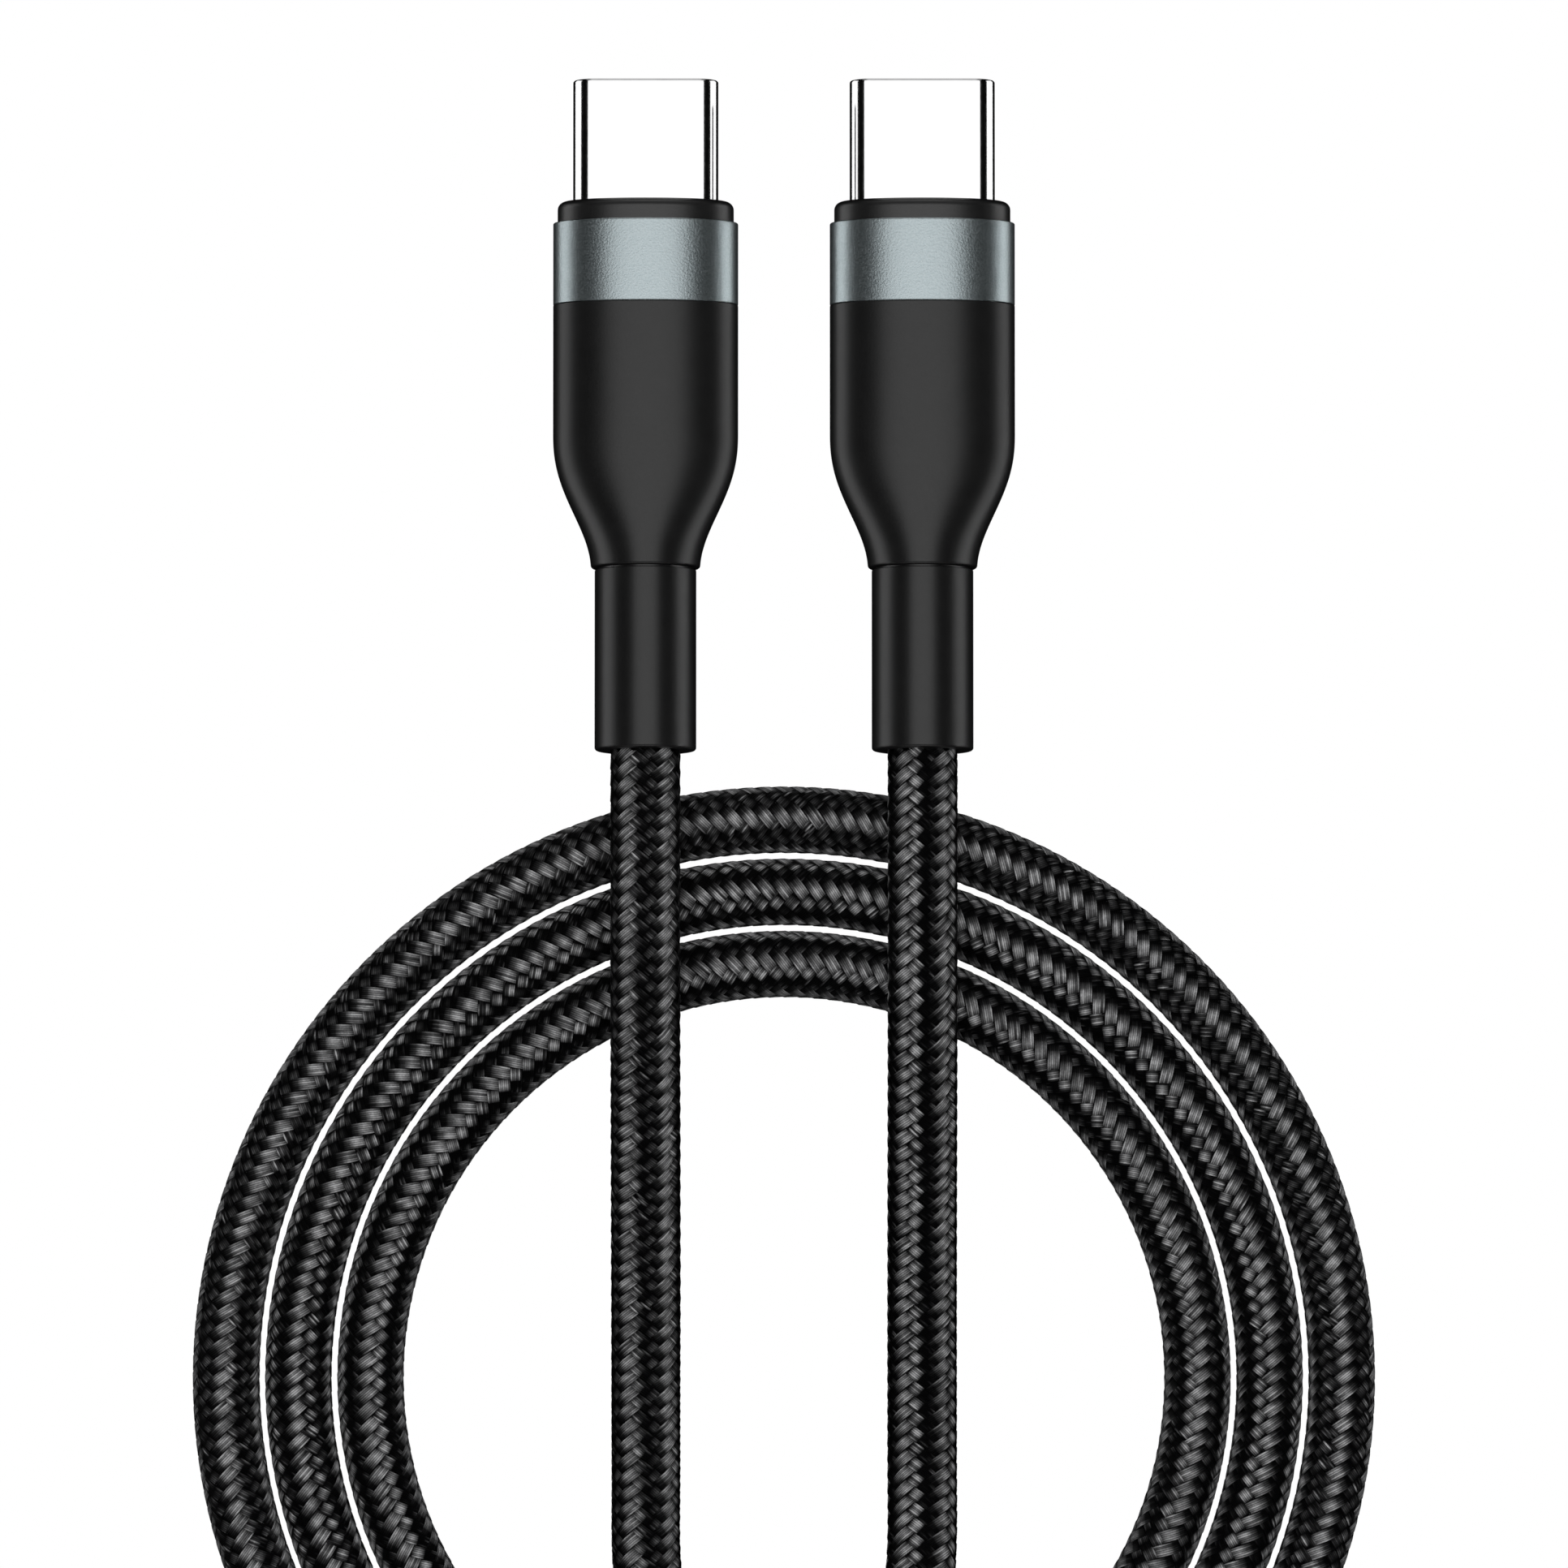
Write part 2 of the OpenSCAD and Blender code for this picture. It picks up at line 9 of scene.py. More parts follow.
import bpy
import numpy as np
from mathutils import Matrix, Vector


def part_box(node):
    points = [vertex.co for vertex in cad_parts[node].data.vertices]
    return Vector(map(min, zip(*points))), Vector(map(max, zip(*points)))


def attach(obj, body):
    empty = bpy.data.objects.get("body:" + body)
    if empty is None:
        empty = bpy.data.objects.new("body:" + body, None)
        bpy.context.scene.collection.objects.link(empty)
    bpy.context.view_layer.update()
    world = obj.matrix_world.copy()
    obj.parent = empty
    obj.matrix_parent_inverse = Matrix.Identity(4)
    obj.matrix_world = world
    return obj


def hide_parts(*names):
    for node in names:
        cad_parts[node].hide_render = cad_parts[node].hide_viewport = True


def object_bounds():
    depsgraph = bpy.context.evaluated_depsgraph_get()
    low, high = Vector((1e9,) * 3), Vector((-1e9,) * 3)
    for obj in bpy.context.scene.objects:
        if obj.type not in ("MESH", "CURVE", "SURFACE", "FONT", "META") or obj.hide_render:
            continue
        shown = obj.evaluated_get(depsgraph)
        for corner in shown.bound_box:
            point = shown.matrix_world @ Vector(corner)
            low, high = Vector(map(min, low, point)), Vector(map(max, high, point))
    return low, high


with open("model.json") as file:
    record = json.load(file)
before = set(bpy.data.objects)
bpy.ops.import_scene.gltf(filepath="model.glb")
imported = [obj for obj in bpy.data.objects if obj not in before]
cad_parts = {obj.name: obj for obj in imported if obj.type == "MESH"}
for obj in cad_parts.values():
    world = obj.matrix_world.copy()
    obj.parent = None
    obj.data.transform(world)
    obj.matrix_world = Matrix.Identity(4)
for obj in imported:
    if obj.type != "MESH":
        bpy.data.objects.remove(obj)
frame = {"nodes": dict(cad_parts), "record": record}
cad_low, cad_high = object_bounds()

BODY = "cable"
SIDES = ("left", "right")
MOUNTS = {m["name"]: m for m in frame["record"]["mounts"]}


# ---- The camera: straight above, as wide as the plugs and the upper part of the coil need ----

FRAME_W = 0.08903
TOP_MARGIN = 0.00447
CAMERA_HEIGHT = 1.0
PLUG_MIDDLE_Z = 0.003
SENSOR_MM = 36


def add_camera():
    tip_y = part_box("left_plug_shell")[1].y
    data = bpy.data.cameras.new("Camera")
    data.sensor_width = SENSOR_MM
    data.lens = SENSOR_MM * (CAMERA_HEIGHT - PLUG_MIDDLE_Z) / FRAME_W
    data.clip_start = 0.01
    data.clip_end = 20
    camera = bpy.data.objects.new("Camera", data)
    camera.location = (0, tip_y + TOP_MARGIN - FRAME_W / 2, CAMERA_HEIGHT)
    bpy.context.scene.collection.objects.link(camera)
    bpy.context.scene.camera = camera


add_camera()


# ---- Meshes ----


def new_mesh(name, points, faces, smooth=True):
    """A mesh object from numpy arrays: points (n, 3) and faces, a list of (m, k) arrays."""
    mesh = bpy.data.meshes.new(name)
    loops = np.concatenate([f.reshape(-1) for f in faces]).astype(np.int32)
    sizes = np.concatenate([np.full(len(f), f.shape[1]) for f in faces]).astype(np.int32)
    starts = np.concatenate([[0], np.cumsum(sizes)[:-1]]).astype(np.int32)
    mesh.vertices.add(len(points))
    mesh.vertices.foreach_set("co", np.ascontiguousarray(points, dtype=np.float32).reshape(-1))
    mesh.loops.add(len(loops))
    mesh.loops.foreach_set("vertex_index", loops)
    mesh.polygons.add(len(sizes))
    mesh.polygons.foreach_set("loop_start", starts)
    mesh.polygons.foreach_set("use_smooth", np.full(len(sizes), smooth))
    mesh.update(calc_edges=True)
    mesh.validate()
    obj = bpy.data.objects.new(name, mesh)
    bpy.context.scene.collection.objects.link(obj)
    return obj


def band_faces(rings, around, close_rings=False):
    """Quads between rings of points that each go right round."""
    count = rings if close_rings else rings - 1
    i = np.arange(count)[:, None]
    j = np.arange(around)[None, :]
    near, far = i * around, ((i + 1) % rings) * around
    after = (j + 1) % around
    quads = np.stack(np.broadcast_arrays(near + j, near + after, far + after, far + j), axis=-1)
    return quads.reshape(-1, 4)


def cap_faces(rings, around):
    """The two end faces of a bar of rings."""
    first = np.arange(around)[::-1]
    last = (rings - 1) * around + np.arange(around)
    return np.stack([first, last])


# ---- The cord's middle line ----

CORD_D = 0.0039
COIL_CENTRE = np.array([0, -0.0545, 0])
CORD_Z = 0.00195
TURN_RADII = (0.0235, 0.0276, 0.0317)
# The coil steps out to its next turn between these angles, at the bottom of the coil
STEP_FROM, STEP_TO = 210.0, 275.0
COIL_FROM, COIL_TO = -72.0, 917.0
COIL_POINTS = 133
# The cord leaves its sleeve straight for this far
EXIT_STEP = 0.004
# How far apart the points of the finished line are, and how finely it is measured first
LINE_STEP = 0.0001
MEASURED_POINTS = 20000

# Points of the two tails' middle line, from the coil's centre. The left tail goes over the coil and down to
# the table, then round into the inner turn. The right one climbs over the turns and joins the outer one.
LEFT_ROUTE = [
    (-0.00785, 0.028, 0.00635), (-0.00785, 0.025, 0.0063), (-0.00785, 0.022, 0.006),
    (-0.00785, 0.018, 0.0051), (-0.00785, 0.014, 0.004), (-0.00785, 0.010, 0.003),
    (-0.00785, 0.006, 0.0023), (-0.00785, 0.002, 0.002), (-0.00785, -0.003, 0.00195),
    (-0.00785, -0.007, 0.00195), (-0.0078, -0.0105, 0.00195), (-0.0072, -0.014, 0.00195),
    (-0.0056, -0.0175, 0.00195), (-0.0029, -0.0206, 0.00195), (0.0007, -0.0225, 0.00195),
    (0.0043, -0.0231, 0.00195),
]
RIGHT_ROUTE = [
    (0.00785, 0.028, 0.00635), (0.00785, 0.025, 0.0063), (0.00785, 0.022, 0.006),
    (0.00785, 0.018, 0.0051), (0.00785, 0.014, 0.004), (0.00785, 0.010, 0.0029),
    (0.00785, 0.006, 0.0022), (0.00785, 0.002, 0.00195), (0.00785, -0.002, 0.0022),
    (0.00785, -0.006, 0.003), (0.0078, -0.010, 0.0042), (0.0073, -0.014, 0.0053),
    (0.006, -0.018, 0.0059), (0.0037, -0.0217, 0.006), (0.0005, -0.0247, 0.006),
    (-0.0034, -0.0268, 0.006), (-0.0076, -0.0278, 0.006), (-0.012, -0.0278, 0.006),
    (-0.0163, -0.0266, 0.0058), (-0.0203, -0.0242, 0.0051), (-0.024, -0.0207, 0.0039),
    (-0.027, -0.0166, 0.0028), (-0.0292, -0.0123, 0.0021),
]


def plug_axes(side):
    """A plug's tip, and the ways to its right, forward and up."""
    mount = MOUNTS[side + "_plug"]
    forward = np.array(mount["axis"], float)
    right = np.array([1.0, 0, 0])
    return np.array(mount["pos_m"], float), right, forward, np.cross(right, forward)


def plug_place(side, x, s, z):
    """Points across a plug at x and z, and a distance s behind its tip."""
    tip, right, forward, up = plug_axes(side)
    x, s, z = (np.asarray(v, float)[..., None] for v in (x, s, z))
    return tip + x * right - s * forward + z * up


def plug_box(side, node):
    """A CAD node's lowest and highest x, distance behind the tip and z, in its plug's own place."""
    tip, right, forward, up = plug_axes(side)
    co = np.array([v.co for v in frame["nodes"][side + "_" + node].data.vertices], float) - tip
    own = np.stack([co @ right, -(co @ forward), co @ up], axis=1)
    return own.min(0), own.max(0)


def ease(t):
    """A slope that starts and ends level, from 0 to 1."""
    return (1 - np.cos(np.pi * np.clip(t, 0, 1))) / 2


def coil_turns():
    """The coil's turns: each is a level circle that steps out to the next at the bottom."""
    angles = np.linspace(COIL_FROM, COIL_TO, COIL_POINTS)
    radius = np.full_like(angles, TURN_RADII[0])
    for turn in (1, 2):
        start = STEP_FROM + 360 * (turn - 1)
        step = TURN_RADII[turn] - TURN_RADII[turn - 1]
        radius += step * ease((angles - start) / (STEP_TO - STEP_FROM))
    a = np.radians(angles)
    return np.stack([radius * np.cos(a), radius * np.sin(a), np.full_like(a, CORD_Z)], axis=1)


def smooth_line(points, step):
    """Points an equal step apart along the natural cubic spline through the given ones."""
    t = np.concatenate([[0], np.cumsum(np.linalg.norm(np.diff(points, axis=0), axis=1))])
    h = np.diff(t)[:, None]
    n = len(t)
    slopes = np.diff(points, axis=0) / h
    matrix = np.eye(n)
    right = np.zeros((n, 3))
    for i in range(1, n - 1):
        matrix[i, i - 1:i + 2] = h[i - 1, 0], 2 * (h[i - 1, 0] + h[i, 0]), h[i, 0]
        right[i] = 6 * (slopes[i] - slopes[i - 1])
    bend = np.linalg.solve(matrix, right)

    def at(where):
        k = np.clip(np.searchsorted(t, where, side="right") - 1, 0, n - 2)
        hk, u, v = h[k], (where - t[k])[:, None], (t[k + 1] - where)[:, None]
        return (
            bend[k] * v**3 / (6 * hk) + bend[k + 1] * u**3 / (6 * hk)
            + (points[k] / hk - bend[k] * hk / 6) * v + (points[k + 1] / hk - bend[k + 1] * hk / 6) * u
        )

    fine = np.linspace(0, t[-1], MEASURED_POINTS)
    dense = at(fine)
    run = np.concatenate([[0], np.cumsum(np.linalg.norm(np.diff(dense, axis=0), axis=1))])
    count = int(round(run[-1] / step)) + 1
    return at(np.interp(np.linspace(0, run[-1], count), run, fine))


def cord_line():
    """The middle of the cord, from the left sleeve's end to the right one's."""
    ends = {}
    for side in SIDES:
        exit_s = plug_box(side, "strain_relief")[1][1]
        ends[side] = plug_place(side, [0, 0], [exit_s, exit_s + EXIT_STEP], [0, 0])
    parts = [
        ends["left"],
        np.array(LEFT_ROUTE) + COIL_CENTRE,
        coil_turns() + COIL_CENTRE,
        (np.array(RIGHT_ROUTE) + COIL_CENTRE)[::-1],
        ends["right"][::-1],
    ]
    return smooth_line(np.concatenate(parts), LINE_STEP)


LINE = cord_line()
LINE_RUN = np.concatenate([[0], np.cumsum(np.linalg.norm(np.diff(LINE, axis=0), axis=1))])
CORD_LENGTH = float(LINE_RUN[-1])


def line_frames(line):
    """The ways along, to the side of and up from a line that lies nearly level."""
    along = np.gradient(line, axis=0)
    along /= np.linalg.norm(along, axis=1)[:, None]
    side = np.cross(along, [0, 0, 1])
    side /= np.linalg.norm(side, axis=1)[:, None]
    return along, side, np.cross(side, along)


LINE_ALONG, LINE_SIDE, LINE_UP = line_frames(LINE)


def on_cord(run, angle, radius):
    """Points on the cord: a run along it, an angle round it from the top, and a distance from its middle."""
    def look_up(table):
        return np.stack([np.interp(run, LINE_RUN, table[:, i]) for i in range(3)], axis=-1)

    past = run - np.clip(run, 0, CORD_LENGTH)
    middle = look_up(LINE) + past[..., None] * look_up(LINE_ALONG)
    out = np.cos(angle)[..., None] * look_up(LINE_UP) + np.sin(angle)[..., None] * look_up(LINE_SIDE)
    return middle + radius[..., None] * out


# ---- The cord: a jacket under a braid of twenty flat ribbons, each of six filaments ----

JACKET_R = 0.00165
JACKET_SIDES = 20
JACKET_STEP = 0.0006
# Ribbons of each hand, the length of cord in which one goes right round, and where the first one starts
RIBBONS = 10
BRAID_LEAD = 0.0092
BRAID_PHASE = math.radians(31.5)
FILAMENTS = 6
RIBBON_W = 0.0007
FILAMENT_R = RIBBON_W / FILAMENTS / 2
# How far a ribbon rises and sinks as it goes over and under the others
WAVE = 0.000065
BRAID_OUT = 0.00197
BRAID_MIDDLE = BRAID_OUT - FILAMENT_R - WAVE
BRAID_STEP = 0.00023
# How far the ribbons reach into each sleeve
BRAID_INSIDE = 0.0003
# Across a filament, in filament radii: where its two crest points lie, and how high the valley beside it is
CREST = 0.45
VALLEY = 0.2
# Unevenness, with the number of steps between new values: a ribbon's sideways wander, then how far single
# filaments sink, at most
WANDER = 0.000005
WANDER_EVERY = 9
SINK = 0.000003
SINK_MOST = 0.000006
SINK_EVERY = 6
# How far the whole braid is twisted round the cord, at these distances along it
TWIST_RUN = (0.0, 0.03, 0.09, 0.53, 0.60, CORD_LENGTH)
TWIST = tuple(math.radians(v) for v in (0, 0, -30, -30, -8.5, -8.5))
# How thick the braid is, at the same distances: it is drawn a little tighter where it is coiled
THICKNESS = (1.02, 1.02, 0.97, 0.97, 1.02, 1.02)
# The painted sheen, a highlight painted into the ribbons' colour, faces the left plug as far as the first of
# these, and the right plug from the second on
FACES_LEFT, FACES_RIGHT = 0.560, 0.590
# How much painted sheen, a highlight painted into the colour, one ribbon shows, from where it comes up out of
# the braid to where it goes down again
PAINTED_SHEEN_RIGHT = (
    (-0.08, 0.0), (0.0, 0.42), (0.12, 0.68), (0.26, 0.88), (0.36, 1.05), (0.44, 0.78), (0.54, 0.45),
    (0.66, 0.22), (0.8, 0.06), (0.9, 0.0),
)
PAINTED_SHEEN_LEFT = (
    (-0.1, 0.0), (0.1, 0.02), (0.18, 0.35), (0.25, 1.0), (0.3, 1.05), (0.35, 0.45), (0.41, 0.08), (0.5, 0.0),
    (0.8, 0.0), (0.88, 0.28), (0.95, 0.4), (1.0, 0.15), (1.04, 0.0),
)
# A power that deepens the painted sheen's dark places
PAINTED_SHEEN_POWER = 1.8
# How unevenly the painted highlight lies on the filaments of a ribbon: where on the float, and how much,
# within the limits
PAINTED_SHEEN_SHIFT = 0.035
PAINTED_SHEEN_SHIFT_EVERY = 5
PAINTED_SHEEN_SPREAD = 0.28
PAINTED_SHEEN_SPREAD_EVERY = 4
PAINTED_SHEEN_SPREAD_LIMITS = (0.3, 1.6)
# What is left of the painted sheen in the valleys between filaments, and on the two outer filaments: painted
# shade in the valleys and along the ribbon's edges
VALLEY_PAINTED_SHEEN = 0.2
EDGE_PAINTED_SHEEN = 0.8


def add_jacket():
    """The cord's round core, which shows only between the ribbons."""
    run = np.linspace(0, CORD_LENGTH, int(CORD_LENGTH / JACKET_STEP))
    angle = np.linspace(0, 2 * np.pi, JACKET_SIDES, endpoint=False)
    runs, angles = np.meshgrid(run, angle, indexing="ij")
    points = on_cord(runs, angles, np.full_like(runs, JACKET_R)).reshape(-1, 3)
    faces = [band_faces(len(run), JACKET_SIDES), cap_faces(len(run), JACKET_SIDES)]
    return new_mesh("cord_core", points, faces)


def ribbon_profile():
    """Across one ribbon: places from its middle, and heights above its own middle layer."""
    across, height = [], []
    for m in range(FILAMENTS):
        middle = -RIBBON_W / 2 + (2 * m + 1) * FILAMENT_R
        for x in (-1, -CREST, CREST):
            across.append(middle + x * FILAMENT_R)
            height.append(FILAMENT_R * (VALLEY if x == -1 else math.sqrt(1 - x * x)))
    across += [RIBBON_W / 2, RIBBON_W / 2 - FILAMENT_R, FILAMENT_R - RIBBON_W / 2]
    height += [FILAMENT_R * VALLEY, -FILAMENT_R, -FILAMENT_R]
    return np.array(across), np.array(height)


def ribbon_noise(rng, steps, every, columns):
    """Uneven values along a ribbon: new ones after every few steps, with straight lines between them."""
    values = rng.normal(0, 1, (steps // every + 1, columns))
    grid = np.arange(steps) / every
    low = np.minimum(grid.astype(int), len(values) - 2)
    share = (grid - low)[:, None]
    return values[low] * (1 - share) + values[low + 1] * share


def add_ribbon(hand, index, rng):
    """One ribbon of the braid. hand is 1 or -1, the way that it winds.

    Ribbons of both hands cross in a lattice, and each goes over two and under two of the others.
    """
    turn = 2 * np.pi / BRAID_LEAD
    slant = math.atan(turn * BRAID_MIDDLE)
    across, height = ribbon_profile()
    filament = np.minimum(np.arange(len(across)) // 3, FILAMENTS - 1)
    filament[-2:] = [FILAMENTS - 1, 0]
    steps = int((CORD_LENGTH + 2 * BRAID_INSIDE) / BRAID_STEP)
    run = np.linspace(-BRAID_INSIDE, CORD_LENGTH + BRAID_INSIDE, steps)
    u = across[None, :] + WANDER * ribbon_noise(rng, steps, WANDER_EVERY, 1)
    runs = run[:, None] - u * math.sin(slant)
    angle = 2 * np.pi * index / RIBBONS + BRAID_PHASE + hand * (
        turn * run[:, None] + u * math.cos(slant) / BRAID_MIDDLE
    )
    other = (angle - BRAID_PHASE + hand * turn * runs) * RIBBONS / (2 * np.pi)
    lattice = index + other - 0.5
    wave = hand * np.cos(np.pi / 2 * lattice)
    loose = SINK * ribbon_noise(rng, steps, SINK_EVERY, FILAMENTS)[:, filament]
    radius = BRAID_MIDDLE + WAVE * wave + height[None, :] + np.clip(loose, -SINK_MOST, 0)
    radius = radius * np.interp(runs, TWIST_RUN, THICKNESS)
    points = on_cord(runs, angle + np.interp(runs, TWIST_RUN, TWIST), radius).reshape(-1, 3)
    around = len(across)
    faces = [band_faces(steps, around), cap_faces(steps, around)]
    if hand < 0:
        faces = [f[:, ::-1] for f in faces]
    obj = new_mesh("braid_%s_%d" % ("right" if hand > 0 else "left", index), points, faces)

    # The painted sheen: a highlight painted into each point's colour, light on one part of each float and
    # black on the rest
    # Where each point is on its float: 0 at the end that is nearer to the plug, and 1 at the other end
    place = ((lattice + (2 if hand > 0 else 0)) % 4 - 2) * hand
    curve = np.array(PAINTED_SHEEN_RIGHT if hand > 0 else PAINTED_SHEEN_LEFT)
    jitter = PAINTED_SHEEN_SHIFT * ribbon_noise(rng, steps, PAINTED_SHEEN_SHIFT_EVERY, FILAMENTS)[:, filament]
    from_left, from_right = (np.interp((1 + way * place) / 2 + jitter, *curve.T) for way in (1, -1))
    painted_sheen = from_left + (from_right - from_left) * ease((runs - FACES_LEFT) / (FACES_RIGHT - FACES_LEFT))
    spread = 1 + PAINTED_SHEEN_SPREAD * ribbon_noise(rng, steps, PAINTED_SHEEN_SPREAD_EVERY, FILAMENTS)[:, filament]
    painted_sheen = (painted_sheen * np.clip(spread, *PAINTED_SHEEN_SPREAD_LIMITS)) ** PAINTED_SHEEN_POWER
    # Painted shade: the painted sheen is cut down in the valleys between filaments and on the two outer
    # filaments
    painted_sheen[:, 0:-2:3] *= VALLEY_PAINTED_SHEEN
    painted_sheen[:, filament == 0] *= EDGE_PAINTED_SHEEN
    painted_sheen[:, filament == FILAMENTS - 1] *= EDGE_PAINTED_SHEEN
    values = obj.data.attributes.new("painted_sheen", "FLOAT", "POINT").data
    values.foreach_set("value", np.ascontiguousarray(painted_sheen.reshape(-1), dtype=np.float32))
    return obj


core = add_jacket()
rng = np.random.default_rng(7)
ribbons = [add_ribbon(hand, i, rng) for hand in (1, -1) for i in range(RIBBONS)]
for piece in [core, *ribbons]:
    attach(piece, BODY)
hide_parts("left_cord_tail", "right_cord_tail", "cord_coil")


# ---- The plugs' outside: smooth shells in place of the plain CAD ones ----

OUTLINE_POINTS = 144
# How much further from the tip the visible edges of the outer pieces lie than in the CAD model
COLLAR_BACK = 0.00015
RING_BACK = 0.00017
HOUSING_BACK = 0.00025
SEAM_BACK = 0.0002
SLEEVE_BACK = -0.00014
# Roundness of the plug's oval section: 2 is an ellipse, more is squarer
OVAL_POWER = 2.2
# Support points stand this near to the ends of stretches that are longer than this
SUPPORT_NEAR = 0.00002
SUPPORT_LONG = 0.00012


def oval_outline(a, b, power):
    """An oval with half sizes a and b, rounder or squarer by its power."""
    t = np.linspace(0, 2 * np.pi, OUTLINE_POINTS, endpoint=False)
    c, s = np.cos(t), np.sin(t)
    return a * np.sign(c) * np.abs(c) ** (2 / power), b * np.sign(s) * np.abs(s) ** (2 / power)


def slot_outline(a, b):
    """Straight top and bottom, and round ends: half sizes a and b."""
    t = np.linspace(0, 2 * np.pi, OUTLINE_POINTS, endpoint=False) + np.pi / OUTLINE_POINTS
    return b * np.cos(t) + np.sign(np.cos(t)) * (a - b), b * np.sin(t)


def rounded(inset, s, radius, turn_in, steps=5):
    """A quarter round on an edge. It starts radius before s and ends at s, or the other way round."""
    t = np.linspace(0, np.pi / 2, steps)
    back = 1 if turn_in else -1
    path = [(inset + radius * (1 - math.cos(v)), s - back * radius * (1 - math.sin(v))) for v in t]
    return path if turn_in else path[::-1]


def crisp(path):
    """The same closed path with a point near each end of every long stretch, which keeps its shading flat."""
    points = []
    for i, here in enumerate(path):
        there = path[(i + 1) % len(path)]
        far = math.dist(here, there)
        points.append(here)
        if far > SUPPORT_LONG:
            for share in (SUPPORT_NEAR / far, 1 - SUPPORT_NEAR / far):
                points.append(tuple(h + (t - h) * share for h, t in zip(here, there)))
    return points


def sleeve(name, side, outline, path):
    """A closed hollow shell: outline(inset, s) along a closed path of (inset, s)."""
    rings = []
    for inset, s in crisp(path):
        x, z = outline(inset, s)
        rings.append(plug_place(side, x, np.full_like(x, s), z))
    points = np.concatenate(rings)
    return new_mesh(name, points, [band_faces(len(rings), OUTLINE_POINTS, close_rings=True)])


def finish_piece(obj, side, node):
    """Put a skin on its body, in place of its CAD node."""
    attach(obj, BODY)
    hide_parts(side + "_" + node)
    return obj


def add_shell(side):
    """The metal shell, with a fully rounded lip."""
    low, high = plug_box(side, "plug_shell")
    a, b, end = high[0], high[2], high[1]
    wall = 0.0003
    lip = 0.00014
    behind_lip = low[1] + 0.0008
    path = (
        rounded(0, low[1], lip, False) + [(0, behind_lip), (0, end), (wall, end), (wall, behind_lip)]
        + [(wall - i, s) for i, s in rounded(0, low[1], lip, False)[::-1]]
    )
    obj = sleeve(side + "_shell", side, lambda inset, s: slot_outline(a - inset, b - inset), path)
    return finish_piece(obj, side, "plug_shell")


def add_collar(side):
    """The plastic collar: an oval outside, a slot round the shell inside, and a hardly hollow front face."""
    front = plug_box(side, "nose_collar")[0][1] + COLLAR_BACK
    ring_low, ring_high = plug_box(side, "trim_ring")
    smaller = 0.00025
    a, b = ring_high[0] - smaller, ring_high[2] - smaller
    hole = plug_box(side, "plug_shell")[1]
    gap = 0.00001
    edge = 0.00045
    back = ring_low[1] + RING_BACK + 0.0004
    neck = 0.0006
    face = 0.00072
    hollow = 0.00008
    # Past this inset the outline is the slot round the shell
    slot_from = 0.002
    in_slot = 0.003

    def outline(inset, s):
        if inset > slot_from:
            return slot_outline(hole[0] + gap, hole[2] + gap)
        return oval_outline(a - inset, b - inset, OVAL_POWER)

    path = (
        rounded(0, front, edge, False, 9) + [(0, back), (neck, back), (in_slot, back)]
        + [(in_slot, front + hollow), (face, front + gap)]
    )
    obj = sleeve(side + "_collar", side, outline, path)
    return finish_piece(obj, side, "nose_collar")


def add_ring(side):
    """The metal trim ring, with a fine round on both edges."""
    low, high = plug_box(side, "trim_ring")
    start = low[1] + RING_BACK
    end = high[1] + HOUSING_BACK
    a, b = high[0], high[2]
    wall = 0.0005
    edge = 0.00007
    flat = 0.0003
    path = (
        rounded(0, start, edge, False, 4) + [(0, start + flat), (0, end - flat)]
        + rounded(0, end, edge, True, 4)
        + [(wall, end), (wall, start)]
    )
    obj = sleeve(
        side + "_ring", side, lambda inset, s: oval_outline(a - inset, b - inset, OVAL_POWER), path)
    return finish_piece(obj, side, "trim_ring")


TAPER = 0.0066
# The housing's outside has a longer, rounder shoulder than the plain taper of its inside
SHOULDER = 0.0078
SHOULDER_POWER = 1.2
# The seam between the housing and the sleeve, and how deep it is
SEAM = 0.0001
SEAM_DEEP = 0.0003


def add_housing(side):
    """The housing, which narrows from the ring's oval to a circle and ends in a small lip."""
    high = plug_box(side, "housing")[1]
    start = plug_box(side, "trim_ring")[1][1] + HOUSING_BACK
    a, b, end = high[0], high[2], high[1] + SEAM_BACK
    lip = 0.00018
    edge = 0.00006
    wall = 0.0008
    flat = 0.0003
    mouth = 0.001
    bore = 0.0012

    def outline(inset, s):
        narrowed = ease((s - (end - TAPER)) / TAPER)
        if inset < wall / 4:
            narrowed = ease(max(0, (s - (end - SHOULDER)) / SHOULDER) ** SHOULDER_POWER)
        power = OVAL_POWER + (2 - OVAL_POWER) * narrowed
        return oval_outline(a - inset - (a - b) * narrowed, b - inset, power)

    tail = [(0, s) for s in np.linspace(end - SHOULDER, end - SEAM - lip, 48)]
    path = (
        rounded(0, start, edge, False, 4)
        + [(0, s) for s in np.linspace(start + flat, end - SHOULDER, 8)[:-1]]
        + tail[:-1] + rounded(0, end - SEAM, lip, True, 7)
        + [(wall / 2, end - SEAM), (wall / 2, end - mouth)]
        + [(wall, s) for s in np.linspace(end - bore, end - TAPER, 12)] + [(wall, start)]
    )
    obj = sleeve(side + "_body", side, outline, path)
    return finish_piece(obj, side, "housing")


